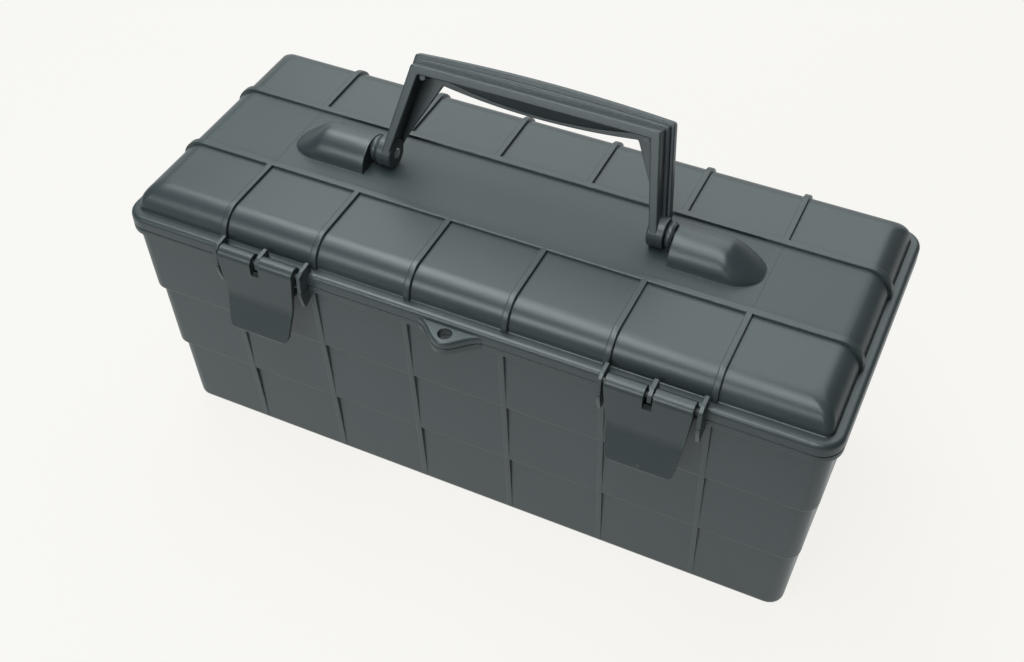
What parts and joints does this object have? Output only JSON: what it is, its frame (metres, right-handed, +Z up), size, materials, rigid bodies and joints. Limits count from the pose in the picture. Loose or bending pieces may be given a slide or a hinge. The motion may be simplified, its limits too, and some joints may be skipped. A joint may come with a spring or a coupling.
{
  "type": "hard tool case",
  "caption": "Hinged plastic tool case: a tapered ribbed bin, a domed lid with a folding bail handle, front latches, a padlock eye and a lift-out tray.",
  "frame": {"origin": "middle of the flat floor that the case stands on", "axes": "+X to the right along the case seen from the latch side, -Y out of the latch side, +Z up"},
  "size_m": [0.416, 0.1992, 0.2337],
  "materials": {
    "case_plastic": "satin",
    "handle_plastic": "satin",
    "latch_plastic": "satin",
    "tray_plastic": "satin",
    "pin_steel": "drawn"
  },
  "bodies": {
    "case": {"bin": "case_plastic", "hinge_pin_left": "pin_steel", "hinge_pin_right": "pin_steel"},
    "lid": {"lid": "case_plastic", "latch_pin_left": "pin_steel", "latch_pin_right": "pin_steel", "handle_pin_left": "pin_steel", "handle_pin_right": "pin_steel", "handle_collar_left": "handle_plastic", "handle_collar_right": "handle_plastic"},
    "handle": {"handle": "handle_plastic"},
    "latch_left": {"latch_left": "latch_plastic"},
    "latch_right": {"latch_right": "latch_plastic"},
    "tray": {"tray": "tray_plastic"}
  },
  "joints": [
    {"name": "lid_hinge", "type": "hinge", "parent": "case", "child": "lid", "pos_m": [0, 0.0922, 0.1475], "axis": [-1, 0, 0], "range_deg": [0, 105]},
    {"name": "latch_left_swing", "type": "hinge", "parent": "lid", "child": "latch_left", "pos_m": [-0.1135, -0.092, 0.159], "axis": [-1, 0, 0], "range_deg": [0, 160]},
    {"name": "latch_right_swing", "type": "hinge", "parent": "lid", "child": "latch_right", "pos_m": [0.1135, -0.092, 0.159], "axis": [-1, 0, 0], "range_deg": [0, 160]},
    {"name": "handle_swing", "type": "hinge", "parent": "lid", "child": "handle", "pos_m": [0, 0, 0.181], "axis": [-1, 0, 0], "range_deg": [-110, 62]},
    {"name": "tray_lift", "type": "slide", "parent": "case", "child": "tray", "axis": [0, 0, 1], "range_m": [0, 0.012]}
  ]
}
